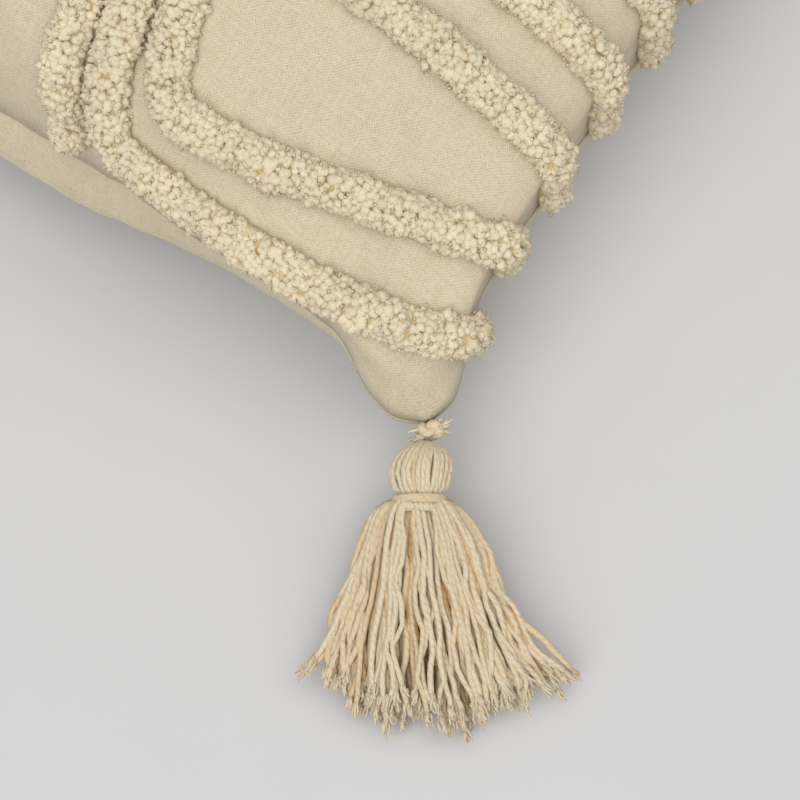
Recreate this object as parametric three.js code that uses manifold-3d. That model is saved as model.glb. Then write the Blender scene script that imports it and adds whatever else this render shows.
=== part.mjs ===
// Square throw pillow: a zipped cotton cover with tufted stripes and a tassel at each corner, over a
// fibre-filled insert. It lies on its back panel with its edges along X and Y. Millimetres, +Z up.
import * as THREE from 'three';
import { mergeVertices } from 'three/addons/utils/BufferGeometryUtils.js';
import Module from 'manifold-3d';

const wasm = await Module();
wasm.setup();

// Cover
const coverSide = 432;        // corner tip to corner tip along one edge, once filled
const edgePull = 4;           // how far the middle of an edge pulls in between its corners
const lowerPull = 1;          // the same for the edge away from the zipper
const crown = 80;             // front panel's rise above the seam, at the middle
const belly = 55;             // back panel's depth below the seam, before the table flattens it
const fullness = 0.42;        // lower is boxier, higher is more domed
const seamHeight = 50;        // seam above the table along the edges
const earHeight = 27;         // seam above the table at a corner tip
const clothThickness = 1.2;
const seamOpening = 1.6;      // between the two panels' edges, where the seam is sewn
const seamAllowance = 10;     // overlocked edge inside the cover
const facetSize = 27;         // mean width of a panel's facets

// Zipper in the +Y edge
const zipperToCorner = 56;    // end of the zipper to the corner tip
const zipperPull = 10;        // how far the zipped edge pulls in from its corners
const zipperLead = 14;        // straight edge left past each end of the zipper
const sliderPlay = 0.35;      // between the slider and each panel's edge
const coilRadius = 0.9;
const tapeThickness = 0.6;
const tapeWidth = 8;
const sliderLength = 9;
const sliderWall = 1.2;
const sliderFace = 0.2;       // slider's outer face past the cloth edge
const flangeWall = 0.6;
const bridgeSpan = 7.6;       // the arch that holds the pull
const bridgeWidth = 1.8;
const bridgeBar = 0.8;
const pullLength = 21;
const pullWidth = 5.2;
const pullThickness = 1.2;
const pullEyeBar = 1.2;       // end bar of the pull, which turns under the bridge
const pullPlay = 0.7;         // between that bar and the slider, and between it and the bridge
const stopLength = 1.8;

// Tufted rows, placed by their distance from the centre lines or from the cover's edges
const pileHeight = 7;
const rowWidth = 14;
const rowGap = 0.8;           // between the panel and the underside of a row
const rungSpacing = 28;
const rungEndGap = 1.6;       // between a rung's inner end and the stem it runs up to
const rowToSideEdge = 6;      // a row's end to the seam
const stemWaist = 66.5;       // middle stem to the centre line, halfway up
const stemSpread = 32.5;      // how much further out it is where it meets the seam
const plainStemGap = 1;       // between the middle stem and the plain stem beside it
const outerStemGap = 1;       // between the middle stem and the stem on its outer side
const plainStemEnd = 8;       // plain stem's end to the seam
// An arm's distances from the cover's lower edge: at the side seam, a third and two thirds in, at the stem
const outerArm = [27, 12, 9, 9];
const innerArm = outerArm.map((distance, index) => distance + rowWidth + [12, 11, 4, 0][index]);
const armBend = 13;           // rounding where a stem turns into its arm
const rungToArm = 22;         // least distance from the last rung to the inner arm, at the side seam
const rowStep = 17;           // between a row's stations
const rowStepNearEdge = 7;

// Insert
const insertInset = 14;       // insert's edge to the cover's edge
const insertPlay = 0.7;       // between the cover and the insert, at the middle
const casingThickness = 0.8;
const casingGap = 0.6;        // between the two casing halves at their seam
const fillPlay = 0.8;
const fillShort = 8;          // the filling stops this far inside the casing's seam
const insertCells = 12;

// Tassels
const tasselTurn = 10.7;      // how far each one lies round from its corner's diagonal, in degrees
const tasselLength = 86;      // knot's centre to the ends of the yarn
const knotRadius = 3.2;
const knotTail = 3.6;         // length of each cut end past the knot
const knotTailRadius = 1.1;
const knotPlay = 0.4;         // knot to the corner tip, and knot to the head
const headRadius = 9.5;
const headLength = 14.8;
const neckRadius = 6.9;
const wrapLength = 3.4;
const wrapThickness = 1.5;
const wrapPlay = 0.3;
const skirtHalfWidth = 28;
const skirtHalfHeight = 8;    // where the yarn ends lie on the table
const skirtClear = 0.5;       // lowest yarn to the table

const half = coverSide / 2;
const edgeHalf = half - edgePull;
const zipperY = half - zipperPull;
const zipperHalf = half - zipperToCorner;
const straightEnd = (zipperHalf + zipperLead) / half;
const panelCells = Math.round(coverSide / facetSize);
const flatShare = half / edgeHalf;   // a row's width on the panel to the same width drawn on the flat cover
const innerStemStep = (rowWidth + plainStemGap) * flatShare;
const outerStemStep = (rowWidth + outerStemGap) * flatShare;

// Zipper's own section, outwards from the middle of the slot
const coilGap = 0.3;          // the two coils, and each coil and the slider
const tapeGap = 0.8;          // each coil and its tape
const coilZ = coilGap / 2 + coilRadius;
const flangeIn = coilZ + coilRadius + coilGap;
const zipperSlot = 2 * (flangeIn + flangeWall + sliderPlay);

// Materials
function cloth(color, roughness = 0.95) {
  return new THREE.MeshStandardMaterial({ color, roughness, metalness: 0 });
}

const finishes = {
  canvas: () => cloth(0xd9ccb0),
  pile: () => cloth(0xe6dabd, 1),
  yarn: () => cloth(0xddceac, 1),
  overlock: () => cloth(0xe8e0cc),
  tape: () => cloth(0xdcd2ba),
  casing: () => cloth(0xf1efe9),
  fill: () => cloth(0xfafafa, 1),
  nylon: () => new THREE.MeshStandardMaterial({ color: 0xd8cfb8, roughness: 0.5, metalness: 0 }),
  enamel: () => new THREE.MeshStandardMaterial({ color: 0xd6ccb4, roughness: 0.35, metalness: 0.1 }),
  stop: () => new THREE.MeshStandardMaterial({ color: 0xb9bbbd, roughness: 0.35, metalness: 1 }),
};

// The closed body made by these triangles, with its faces turned outwards
function solid(points, triangles) {
  let volume = 0;
  for (const [i, j, k] of triangles) {
    volume += points[i].dot(new THREE.Vector3().crossVectors(points[j], points[k]));
  }
  const ordered = volume < 0 ? triangles.map(([i, j, k]) => [i, k, j]) : triangles;
  const geometry = new THREE.BufferGeometry();
  const flat = points.flatMap((point) => point.toArray());
  geometry.setAttribute('position', new THREE.Float32BufferAttribute(flat, 3));
  geometry.setIndex(ordered.flat());
  geometry.computeVertexNormals();
  return geometry;
}

function toManifold(geometry) {
  const bare = geometry.clone();
  bare.deleteAttribute('normal');
  bare.deleteAttribute('uv');
  const merged = mergeVertices(bare, 1e-4);
  return new wasm.Manifold(new wasm.Mesh({
    numProp: 3,
    vertProperties: new Float32Array(merged.attributes.position.array),
    triVerts: new Uint32Array(merged.index.array),
  }));
}

function joined(...geometries) {
  const mesh = geometries.map(toManifold).reduce((whole, next) => whole.add(next)).getMesh();
  const geometry = new THREE.BufferGeometry();
  geometry.setAttribute('position', new THREE.Float32BufferAttribute(mesh.vertProperties, 3));
  geometry.setIndex(new THREE.Uint32BufferAttribute(mesh.triVerts, 1));
  geometry.computeVertexNormals();
  return geometry;
}

// Box between two corners
function block(low, high) {
  const size = high.map((value, axis) => value - low[axis]);
  const middle = high.map((value, axis) => (value + low[axis]) / 2);
  return new THREE.BoxGeometry(...size).translate(...middle);
}

// Tube through closed rings of points, with both ends closed
function lofted(rings) {
  const sides = rings[0].length;
  const points = rings.flat();
  const triangles = [];
  for (let ring = 0; ring + 1 < rings.length; ring += 1) {
    for (let side = 0; side < sides; side += 1) {
      const a = ring * sides + side;
      const b = ring * sides + (side + 1) % sides;
      triangles.push([a, b, b + sides], [a, b + sides, a + sides]);
    }
  }
  const last = (rings.length - 1) * sides;
  for (let side = 1; side + 1 < sides; side += 1) {
    triangles.push([0, side + 1, side], [last, last + side, last + side + 1]);
  }
  return solid(points, triangles);
}

// Pillow surface. p and q run from -1 to 1 across the cover along X and Y.
function smooth(low, high, value) {
  const t = Math.min(1, Math.max(0, (value - low) / (high - low)));
  return t * t * (3 - 2 * t);
}

function pastZipper(p) {
  return Math.max(0, (Math.abs(p) - straightEnd) / (1 - straightEnd));
}

function halfWidth(t) {
  return edgeHalf + edgePull * Math.abs(t) ** 3;
}

function halfDepth(p, q) {
  const zipped = q > 0 ? smooth(0, 1, q) : 0;
  const straight = zipperY + zipperPull * pastZipper(p) ** 1.5;
  const pulled = half - (q > 0 ? edgePull : lowerPull) * (1 - Math.abs(p) ** 3);
  return pulled * (1 - zipped) + straight * zipped;
}

function seamAt(p, q) {
  const zipped = q > 0 ? smooth(0, 1, q) : 0;
  const droop = Math.abs(p) ** 4 * (1 - zipped) + pastZipper(p) ** 2 * zipped;
  return seamHeight - (seamHeight - earHeight) * droop * Math.abs(q) ** 4;
}

function openingAt(p, q) {
  const beside = q > 0 ? q ** 8 * (1 - smooth(straightEnd, straightEnd + 0.05, Math.abs(p))) : 0;
  return (seamOpening + (zipperSlot - seamOpening) * beside) / 2;
}

function bulge(p, q) {
  return Math.max(0, (1 - p * p) * (1 - q * q)) ** fullness;
}

// Point of the front (side 1) or back (side -1) panel's outer face, moved inwards by inset
function onPanel(p, q, side, inset = 0, plan = inset) {
  const x = p * (halfWidth(q) - plan);
  const y = q * (halfDepth(p, q) - plan);
  if (side > 0) {
    return new THREE.Vector3(x, y, seamAt(p, q) + openingAt(p, q) + (crown - inset) * bulge(p, q));
  }
  const z = seamAt(p, q) - openingAt(p, q) - (belly - inset) * bulge(p, q);
  return new THREE.Vector3(x, y, Math.max(inset, z));
}

// Grid values close together near the seams, where the surface turns fastest
function gridValue(index, cells) {
  return Math.sin((index / cells - 0.5) * Math.PI);
}

// Closed body between two faces that share one square grid
function between(faceA, faceB, cells) {
  const row = cells + 1;
  const points = [];
  for (const face of [faceA, faceB]) {
    for (let i = 0; i < row; i += 1) {
      for (let j = 0; j < row; j += 1) {
        points.push(face(gridValue(i, cells), gridValue(j, cells)));
      }
    }
  }
  const triangles = [];
  const other = row * row;
  for (let i = 0; i < cells; i += 1) {
    for (let j = 0; j < cells; j += 1) {
      const a = i * row + j;
      const quad = [a, a + row, a + row + 1, a + 1];
      triangles.push([quad[0], quad[1], quad[2]], [quad[0], quad[2], quad[3]]);
      const under = quad.map((index) => index + other);
      triangles.push([under[0], under[2], under[1]], [under[0], under[3], under[2]]);
    }
  }
  const rim = [];
  for (let i = 0; i < cells; i += 1) rim.push(i * row);
  for (let j = 0; j < cells; j += 1) rim.push(cells * row + j);
  for (let i = cells; i > 0; i -= 1) rim.push(i * row + cells);
  for (let j = cells; j > 0; j -= 1) rim.push(j);
  rim.forEach((a, index) => {
    const b = rim[(index + 1) % rim.length];
    triangles.push([a, b + other, b], [a, a + other, b + other]);
  });
  return solid(points, triangles);
}

function coverPanel(side) {
  return between(
    (p, q) => onPanel(p, q, side),
    (p, q) => onPanel(p, q, side, clothThickness),
    panelCells,
  );
}

// Point of a body inside the cover that lies `inset` in from the panels and `plan` in from the seam
function insidePoint(p, q, side, inset, plan) {
  const share = 1 - plan / half;
  const x = p * (halfWidth(q) - plan);
  const y = q * (halfDepth(p, q) - plan);
  const rise = side > 0 ? crown - inset : belly - inset;
  const z = seamAt(p * share, q * share) + side * (casingGap / 2 + rise * bulge(p, q));
  return new THREE.Vector3(x, y, Math.max(inset, z));
}

function casingPanel(side) {
  const inset = clothThickness + insertPlay;
  return between(
    (p, q) => insidePoint(p, q, side, inset, insertInset),
    (p, q) => insidePoint(p, q, side, inset + casingThickness, insertInset + casingThickness),
    insertCells,
  );
}

function fibreFill() {
  const inset = clothThickness + insertPlay + casingThickness + fillPlay;
  const edge = insertInset + casingThickness + fillShort;
  return between(
    (p, q) => insidePoint(p, q, 1, inset, edge),
    (p, q) => insidePoint(p, q, -1, inset, edge),
    insertCells,
  );
}

// Overlocked seam allowance, from one end of the zipper round three sides to the other end
function seamOverlock() {
  const values = Array.from({ length: panelCells + 1 }, (_, index) => gridValue(index, panelCells));
  const beyond = values.filter((value) => value > straightEnd + 0.04);
  const back = values.slice().reverse();
  const walk = [
    ...beyond.slice(0, -1).map((p) => [-p, 1]),
    ...back.map((q) => [-1, q]),
    ...values.slice(1, -1).map((p) => [p, -1]),
    ...values.map((q) => [1, q]),
    ...beyond.slice(0, -1).reverse().map((p) => [p, 1]),
  ];
  const thick = seamOpening / 2 - 0.3;
  const pastRim = clothThickness + 0.6;
  const rings = walk.map(([p, q]) => {
    const at = (inset, rise) => {
      const share = 1 - Math.max(0, inset - pastRim) / half;
      const point = onPanel(p, q, 1, 0, inset);
      point.z = seamAt(p * share, q * share) + rise;
      return point;
    };
    return [
      ...[0.4, pastRim, seamAllowance].map((inset) => at(inset, thick)),
      ...[seamAllowance, pastRim, 0.4].map((inset) => at(inset, -thick)),
    ];
  });
  return lofted(rings);
}

// Tufted rows: a low mound of pile swept along a line drawn on the front panel
function frontPoint(line) {
  return onPanel(line.x / half, line.y / half, 1);
}

function frontNormal(line) {
  const step = 0.4;
  const dx = frontPoint({ x: line.x + step, y: line.y }).sub(frontPoint({ x: line.x - step, y: line.y }));
  const dy = frontPoint({ x: line.x, y: line.y + step }).sub(frontPoint({ x: line.x, y: line.y - step }));
  return dx.cross(dy).normalize();
}

function stations(path) {
  const length = path.getLength();
  const places = [0];
  let at = 0;
  while (at < length) {
    const point = path.getPointAt(Math.min(1, at / length));
    const nearEdge = half - Math.max(Math.abs(point.x), Math.abs(point.y)) < 30;
    at += nearEdge ? rowStepNearEdge : rowStep;
    places.push(Math.min(length, at));
  }
  if (length - places.at(-2) < rowStepNearEdge / 2) places.splice(-2, 1);
  return places.map((place) => path.getPointAt(place / length));
}

function tuftRow(path) {
  const lines = stations(path);
  const centres = lines.map(frontPoint);
  const rings = lines.map((line, index) => {
    const before = centres[Math.max(0, index - 1)];
    const after = centres[Math.min(centres.length - 1, index + 1)];
    const along = after.clone().sub(before).normalize();
    const across = new THREE.Vector3().crossVectors(along, frontNormal(line)).normalize();
    const up = across.clone().cross(along);
    const at = (sideways, height) => centres[index].clone()
      .addScaledVector(across, sideways * rowWidth / 2)
      .addScaledVector(up, rowGap + height * pileHeight);
    return [at(-1, 0), at(1, 0), at(1, 0.5), at(0.5, 1), at(-0.5, 1), at(-1, 0.5)];
  });
  return lofted(rings);
}

function stemX(y, step) {
  return stemWaist + stemSpread * (y / half) ** 2 + step;
}

function stemPoints(low, high, step) {
  const count = 12;
  return Array.from({ length: count + 1 }, (_, index) => {
    const y = low + (high - low) * index / count;
    return new THREE.Vector2(stemX(y, step), y);
  });
}

// A stem that turns outwards at both ends into an arm reaching the side seam
function bracketPath(step, armHeights) {
  const sideX = half - rowToSideEdge;
  const footY = -(half - armHeights[3]);
  const stem = stemPoints(footY + armBend, -footY - armBend, step);
  const cornerX = stemX(footY, step);
  const arm = [1, 2 / 3, 1 / 3].map((share, index) => new THREE.Vector2(
    cornerX + armBend + (sideX - cornerX - armBend) * share,
    -(half - armHeights[index]),
  ));
  const path = new THREE.CurvePath();
  const armEnd = new THREE.Vector2(cornerX + armBend, footY);
  const upper = (point) => new THREE.Vector2(point.x, -point.y);
  path.add(new THREE.SplineCurve([...arm, armEnd]));
  path.add(new THREE.QuadraticBezierCurve(armEnd, new THREE.Vector2(cornerX, footY), stem[0]));
  path.add(new THREE.SplineCurve(stem));
  path.add(new THREE.QuadraticBezierCurve(
    stem.at(-1), new THREE.Vector2(cornerX, -footY), upper(armEnd),
  ));
  path.add(new THREE.SplineCurve([upper(armEnd), ...arm.slice().reverse().map(upper)]));
  return path;
}

function mirrored(path) {
  const flip = (point) => new THREE.Vector2(-point.x, point.y);
  return { getLength: () => path.getLength(), getPointAt: (t) => flip(path.getPointAt(t)) };
}

function rungHeights() {
  const room = half - innerArm[0] - rungToArm;
  const count = Math.floor(room / rungSpacing);
  return Array.from({ length: 2 * count + 1 }, (_, index) => (index - count) * rungSpacing);
}

function rungPath(y) {
  const lean = Math.abs(2 * stemSpread * y / half ** 2);
  const reach = rowWidth / 2 * (Math.hypot(1, lean) + lean) * flatShare;
  const inner = stemX(y, outerStemStep) + reach + rungEndGap;
  return new THREE.LineCurve(new THREE.Vector2(inner, y), new THREE.Vector2(half - rowToSideEdge, y));
}

function tuftedRows() {
  const plainY = half - plainStemEnd;
  const rows = {
    stem: new THREE.SplineCurve(stemPoints(-plainY, plainY, -innerStemStep)),
    outer_bracket: bracketPath(0, outerArm),
    inner_bracket: bracketPath(outerStemStep, innerArm),
  };
  rungHeights().forEach((y, index) => {
    rows[`rung_${index + 1}`] = rungPath(y);
  });
  return Object.entries(rows).flatMap(([name, path]) => [
    new THREE.Mesh(tuftRow(path), finishes.pile()),
    new THREE.Mesh(tuftRow(mirrored(path)), finishes.pile()),
  ].map((mesh, index) => Object.assign(mesh, { name: `tuft_${index ? 'left' : 'right'}_${name}` })));
}

// Zipper, in a frame whose origin is on the zipped edge: x along it, y outwards, z towards the front
const coilY = -(sliderWall - sliderFace + coilGap + coilRadius);
const tapeY = coilY - coilRadius - tapeGap;
const pullAxisY = sliderFace + pullPlay + pullEyeBar / 2;
const bridgeTop = pullAxisY + pullEyeBar / 2 + pullPlay + bridgeBar;
const sliderRest = zipperHalf - sliderLength;

function zipperTape(side) {
  const low = side > 0 ? 0.4 : -0.4 - tapeWidth;
  return block([-zipperHalf, tapeY - tapeThickness, low], [zipperHalf, tapeY, low + tapeWidth]);
}

function zipperCoil(side) {
  return new THREE.CylinderGeometry(coilRadius, coilRadius, 2 * zipperHalf, 12)
    .rotateZ(Math.PI / 2).translate(0, coilY, side * coilZ);
}

function zipperSlider() {
  const end = sliderLength / 2;
  const out = flangeIn + flangeWall;
  const plateIn = sliderFace - sliderWall;
  const channel = [
    block([-end, plateIn, -out], [end, sliderFace, out]),
    block([-end, coilY - coilRadius / 2, flangeIn], [end, plateIn + 0.1, out]),
    block([-end, coilY - coilRadius / 2, -out], [end, plateIn + 0.1, -flangeIn]),
  ];
  const reach = bridgeSpan / 2;
  const arch = new THREE.Shape()
    .moveTo(-reach, 0)
    .lineTo(-reach, bridgeTop - bridgeBar)
    .lineTo(-reach + bridgeBar, bridgeTop)
    .lineTo(reach - bridgeBar, bridgeTop)
    .lineTo(reach, bridgeTop - bridgeBar)
    .lineTo(reach, 0)
    .lineTo(reach - bridgeBar, 0)
    .lineTo(reach - bridgeBar, bridgeTop - bridgeBar)
    .lineTo(-reach + bridgeBar, bridgeTop - bridgeBar)
    .lineTo(-reach + bridgeBar, 0);
  const bridge = new THREE.ExtrudeGeometry(arch, { depth: bridgeWidth, bevelEnabled: false })
    .translate(0, 0, -bridgeWidth / 2);
  return joined(...channel, bridge);
}

// Pull, with the axis it turns on at its origin, lying along x
function zipperPullTab() {
  const bar = pullEyeBar / 2;
  const rail = (pullWidth - bridgeWidth) / 2 - 0.5;
  const wide = pullWidth / 2;
  const eyeEnd = bridgeSpan / 2 + 2.4;
  const tip = pullLength;
  const outline = new THREE.Shape()
    .moveTo(-bar, -wide)
    .lineTo(tip - wide, -wide)
    .absarc(tip - wide, 0, wide, -Math.PI / 2, Math.PI / 2, false)
    .lineTo(-bar, wide);
  const eye = new THREE.Path()
    .moveTo(bar, -wide + rail)
    .lineTo(bar, wide - rail)
    .lineTo(eyeEnd, wide - rail)
    .lineTo(eyeEnd, -wide + rail);
  const grip = new THREE.Path()
    .moveTo(eyeEnd + 3, -1)
    .lineTo(eyeEnd + 3, 1)
    .lineTo(tip - 3.4, 1)
    .lineTo(tip - 3.4, -1);
  outline.holes.push(eye, grip);
  return new THREE.ExtrudeGeometry(outline, { depth: pullThickness, bevelEnabled: false, curveSegments: 5 })
    .rotateX(-Math.PI / 2).translate(0, -pullThickness / 2, 0);
}

function zipperStop() {
  const high = flangeIn - coilGap;
  return block([0, coilY - coilRadius, -high], [stopLength, coilY + coilRadius, high]);
}

function zipper() {
  const group = new THREE.Group();
  group.position.set(0, zipperY, seamHeight);
  const add = (name, geometry, finish, x = 0, y = 0) => {
    const mesh = new THREE.Mesh(geometry, finish);
    mesh.name = name;
    mesh.position.set(x, y, 0);
    group.add(mesh);
  };
  add('zipper_tape_front', zipperTape(1), finishes.tape());
  add('zipper_tape_back', zipperTape(-1), finishes.tape());
  add('zipper_coil_front', zipperCoil(1), finishes.nylon());
  add('zipper_coil_back', zipperCoil(-1), finishes.nylon());
  add('zipper_slider', zipperSlider(), finishes.enamel(), sliderRest);
  add('zipper_pull', zipperPullTab(), finishes.enamel(), sliderRest, pullAxisY);
  add('zipper_stop_closed_end', zipperStop(), finishes.stop(), zipperHalf + coilGap);
  add('zipper_stop_open_end', zipperStop(), finishes.stop(), -zipperHalf - coilGap - stopLength);
  return group;
}

// Tassel, in a frame whose origin is the knot's centre: x along the tassel over the table, z up
const headStart = knotRadius + knotPlay;
const neckStart = headStart + headLength;
const neckEnd = neckStart + wrapLength + 2 * wrapPlay;
const slope = Math.asin((earHeight - skirtHalfHeight - skirtClear) / tasselLength);

function tasselKnot() {
  const ball = new THREE.SphereGeometry(knotRadius, 10, 6);
  const tail = new THREE.CylinderGeometry(knotTailRadius, knotTailRadius, 2 * (knotRadius + knotTail), 6);
  return joined(ball, tail);
}

// Hank of yarn folded over the knot: half its width and half its height at each distance from the knot
function tasselHank() {
  const skirt = tasselLength - neckEnd;
  const sections = [
    [headStart, 0.4 * headRadius, 0.4 * headRadius],
    [headStart + 0.12 * headLength, 0.72 * headRadius, 0.72 * headRadius],
    [headStart + 0.35 * headLength, 0.97 * headRadius, 0.97 * headRadius],
    [headStart + 0.6 * headLength, headRadius, headRadius],
    [headStart + 0.85 * headLength, 0.88 * headRadius, 0.88 * headRadius],
    [neckStart, neckRadius, neckRadius],
    [neckEnd, neckRadius, neckRadius],
    [neckEnd + 0.08 * skirt, 1.6 * neckRadius, 1.2 * neckRadius],
    [neckEnd + 0.35 * skirt, 0.66 * skirtHalfWidth, 1.35 * skirtHalfHeight],
    [neckEnd + 0.7 * skirt, 0.92 * skirtHalfWidth, 1.25 * skirtHalfHeight],
    [tasselLength, skirtHalfWidth, skirtHalfHeight],
  ];
  const sides = 14;
  return lofted(sections.map(([distance, wide, high]) => Array.from({ length: sides }, (_, side) => {
    const angle = side / sides * 2 * Math.PI;
    return new THREE.Vector3(distance, wide * Math.cos(angle), high * Math.sin(angle));
  }))).rotateY(slope);
}

function tasselWrap() {
  const inner = neckRadius + wrapPlay;
  const profile = [
    [inner, 0], [inner + wrapThickness, 0.8], [inner + wrapThickness, wrapLength - 0.8], [inner, wrapLength],
    [inner, 0],
  ].map(([radius, at]) => new THREE.Vector2(radius, at));
  return new THREE.LatheGeometry(profile, 14)
    .rotateZ(-Math.PI / 2).translate(neckStart + wrapPlay, 0, 0).rotateY(slope);
}

function tassel(corner) {
  const group = new THREE.Group();
  const away = half + (knotRadius + knotPlay) / Math.SQRT2;
  const diagonal = -Math.PI / 4 + corner * Math.PI / 2;
  group.position.set(
    Math.sign(Math.cos(diagonal)) * away, Math.sign(Math.sin(diagonal)) * away, earHeight,
  );
  group.rotation.z = diagonal - THREE.MathUtils.degToRad(tasselTurn);
  const pieces = { knot: tasselKnot(), hank: tasselHank(), wrap: tasselWrap() };
  for (const [name, geometry] of Object.entries(pieces)) {
    const mesh = new THREE.Mesh(geometry, finishes.yarn());
    mesh.name = `tassel_${corner + 1}_${name}`;
    group.add(mesh);
  }
  return group;
}

function named(name, geometry, finish) {
  const mesh = new THREE.Mesh(geometry, finish);
  mesh.name = name;
  return mesh;
}

const pillow = new THREE.Group();
pillow.add(
  named('front_panel', coverPanel(1), finishes.canvas()),
  named('back_panel', coverPanel(-1), finishes.canvas()),
  named('seam_overlock', seamOverlock(), finishes.overlock()),
  named('insert_casing_front', casingPanel(1), finishes.casing()),
  named('insert_casing_back', casingPanel(-1), finishes.casing()),
  named('fibre_fill', fibreFill(), finishes.fill()),
  ...tuftedRows(),
  zipper(),
  ...[0, 1, 2, 3].map(tassel),
);

export default pillow;
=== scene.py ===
import math

import bmesh
import bpy
import numpy as np
from mathutils import Matrix, Vector, noise


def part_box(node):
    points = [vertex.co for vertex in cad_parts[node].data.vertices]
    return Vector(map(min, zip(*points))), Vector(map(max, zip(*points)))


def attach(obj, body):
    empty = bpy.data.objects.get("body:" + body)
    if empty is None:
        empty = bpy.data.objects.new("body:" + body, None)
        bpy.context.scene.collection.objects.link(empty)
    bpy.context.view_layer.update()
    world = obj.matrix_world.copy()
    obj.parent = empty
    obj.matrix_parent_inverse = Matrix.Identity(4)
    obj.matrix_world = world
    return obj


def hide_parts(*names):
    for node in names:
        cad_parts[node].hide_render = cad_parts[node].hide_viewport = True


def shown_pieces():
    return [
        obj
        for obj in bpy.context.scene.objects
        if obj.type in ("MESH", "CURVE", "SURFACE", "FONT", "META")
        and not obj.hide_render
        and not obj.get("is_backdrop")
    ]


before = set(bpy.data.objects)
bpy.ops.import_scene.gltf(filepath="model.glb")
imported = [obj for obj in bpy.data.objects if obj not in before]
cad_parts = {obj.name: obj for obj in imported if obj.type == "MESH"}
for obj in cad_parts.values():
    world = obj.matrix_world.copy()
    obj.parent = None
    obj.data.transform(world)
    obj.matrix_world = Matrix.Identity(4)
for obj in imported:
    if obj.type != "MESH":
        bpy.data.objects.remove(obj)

scene = bpy.context.scene
mm = 0.001
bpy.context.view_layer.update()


# Small helpers for nodes and meshes

def linear(hexColor):
    # sRGB hex to the linear colour that a shader socket takes
    values = [int(hexColor[i:i + 2], 16) / 255 for i in (0, 2, 4)]
    return [v / 12.92 if v <= 0.04045 else ((v + 0.055) / 1.055) ** 2.4 for v in values] + [1.0]


def addNode(tree, kind, settings, inputs):
    # one node with its settings, its values and its links
    node = tree.nodes.new(kind)
    for name, value in settings.items():
        setattr(node, name, value)
    for name, value in inputs.items():
        if isinstance(value, bpy.types.NodeSocket):
            tree.links.new(value, node.inputs[name])
        else:
            node.inputs[name].default_value = value
    return node


def startMaterial(name):
    material = bpy.data.materials.new(name)
    material.use_nodes = True
    tree = material.node_tree
    shader = next(node for node in tree.nodes if node.type == "BSDF_PRINCIPLED")
    return material, tree, shader


def finishMaterial(tree, shader, color, values, height=None, depth=0.0, strength=1.0):
    # links the colour and the bump, and sets the shader's own values
    tree.links.new(color, shader.inputs["Base Color"])
    if height is not None:
        bump = addNode(tree, "ShaderNodeBump", {}, {"Height": height, "Distance": depth, "Strength": strength})
        tree.links.new(bump.outputs[0], shader.inputs["Normal"])
    for name, value in values.items():
        shader.inputs[name].default_value = value


def coordinates(tree, name):
    return addNode(tree, "ShaderNodeTexCoord", {}, {}).outputs[name]


def attribute(tree, name):
    return addNode(tree, "ShaderNodeAttribute", {"attribute_name": name}, {}).outputs["Fac"]


def split(tree, vector):
    return addNode(tree, "ShaderNodeSeparateXYZ", {}, {0: vector}).outputs


def compute(tree, operation, *values):
    return addNode(tree, "ShaderNodeMath", {"operation": operation}, dict(enumerate(values))).outputs[0]


def cloud(tree, vector, scale, detail=2, **more):
    return addNode(tree, "ShaderNodeTexNoise", {},
                   {"Vector": vector, "Scale": scale, "Detail": detail, **more}).outputs[0]


def stretched(tree, vector, scale):
    return addNode(tree, "ShaderNodeMapping", {}, {"Vector": vector, "Scale": scale}).outputs[0]


def between(tree, value, low, high):
    return addNode(tree, "ShaderNodeMapRange", {}, {"Value": value, "To Min": low, "To Max": high}).outputs[0]


def toned(tree, color, tone):
    return addNode(tree, "ShaderNodeVectorMath", {"operation": "SCALE"}, {0: color, "Scale": tone}).outputs[0]


def rampColor(tree, value, stops):
    # a colour ramp, its stops as place and sRGB hex
    ramp = addNode(tree, "ShaderNodeValToRGB", {}, {"Fac": value})
    elements = ramp.color_ramp.elements
    while len(elements) < len(stops):
        elements.new(0.5)
    for element, (place, hexColor) in zip(elements, stops):
        element.position = place
        element.color = linear(hexColor)
    return ramp.outputs[0]


def smoothStep(low, high, value):
    share = np.clip((value - low) / (high - low), 0, 1)
    return share * share * (3 - 2 * share)


def addPiece(name, bm, material, smooth=True):
    mesh = bpy.data.meshes.new(name)
    bm.to_mesh(mesh)
    bm.free()
    return showMesh(name, mesh, material, smooth)


def showMesh(name, mesh, material, smooth=True):
    mesh.polygons.foreach_set("use_smooth", [smooth] * len(mesh.polygons))
    mesh.materials.append(material)
    piece = bpy.data.objects.new(name, mesh)
    scene.collection.objects.link(piece)
    return piece


def moveVertices(bm, points):
    for vert, place in zip(bm.verts, points):
        vert.co = place


def setAttribute(mesh, name, values):
    layer = mesh.attributes.new(name, "FLOAT", "POINT")
    layer.data.foreach_set("value", np.concatenate(values).astype(np.float32))


def unit(vectors):
    return vectors / np.maximum(np.linalg.norm(vectors, axis=-1, keepdims=True), 1e-12)


def runAlong(line):
    return np.concatenate([[0], np.cumsum(np.linalg.norm(np.diff(line, axis=0), axis=1))])


def readAlong(wanted, run, line):
    # a line's values at the wanted distances along it
    return np.stack([np.interp(wanted, run, line[:, k]) for k in range(line.shape[1])], -1)


# Materials

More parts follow.
